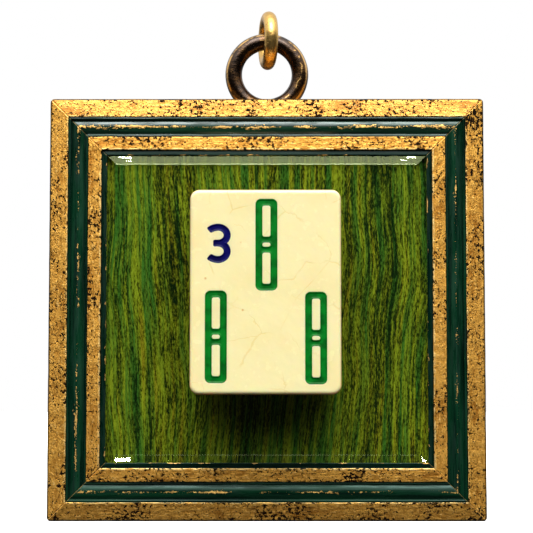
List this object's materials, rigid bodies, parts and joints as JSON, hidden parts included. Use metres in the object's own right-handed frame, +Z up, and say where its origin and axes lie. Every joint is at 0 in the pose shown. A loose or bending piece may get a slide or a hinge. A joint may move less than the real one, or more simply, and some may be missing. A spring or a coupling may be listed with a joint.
{
  "type": "framed mahjong tile ornament",
  "caption": "Carved bamboo game tile fixed to bevelled glass over a grained panel in a small gilt and lacquered moulded frame, with a screw eye and a jump ring to hang it by.",
  "frame": {"origin": "middle of the bottom edge that the frame stands on, half way between the front and the back of the rails", "axes": "+Z up towards the hanging rings, -Y towards the viewer and the tile's face, +X to the viewer's right"},
  "size_m": [0.0672, 0.0241, 0.08],
  "materials": {
    "gilt_moulding": "leaf gilding with dark rubbed specks, and dark green lacquer in the channel and on the lip",
    "clear_glass": "polished, bevelled",
    "stained_veneer": "green stained, upright grain",
    "board": "raw fibreboard",
    "bright_steel": "stamped",
    "cream_tile": "polished, lightly crazed with age",
    "green_paint": "enamel laid in the carving",
    "clear_pad": "clear adhesive pad",
    "dark_brass": "antiqued, brown with worn edges",
    "polished_brass": "polished"
  },
  "bodies": {
    "frame": {"rail_top": "gilt_moulding", "rail_bottom": "gilt_moulding", "rail_left": "gilt_moulding", "rail_right": "gilt_moulding", "bevelled_glass": "clear_glass", "grained_panel": "stained_veneer", "backing_board": "board", "glazier_points": "bright_steel", "corner_wedges": "bright_steel", "tile_body": "cream_tile", "bamboo_top": "green_paint", "bamboo_left": "green_paint", "bamboo_right": "green_paint", "tile_adhesive": "clear_pad", "screw_eye": "dark_brass"},
    "jump_ring": {"jump_ring": "polished_brass"}
  },
  "joints": [
    {"name": "jump_ring_swing", "type": "hinge", "parent": "frame", "child": "jump_ring", "pos_m": [0.0002, 0, 0.0751], "axis": [0.989, 0.1478, 0], "continuous": true}
  ]
}
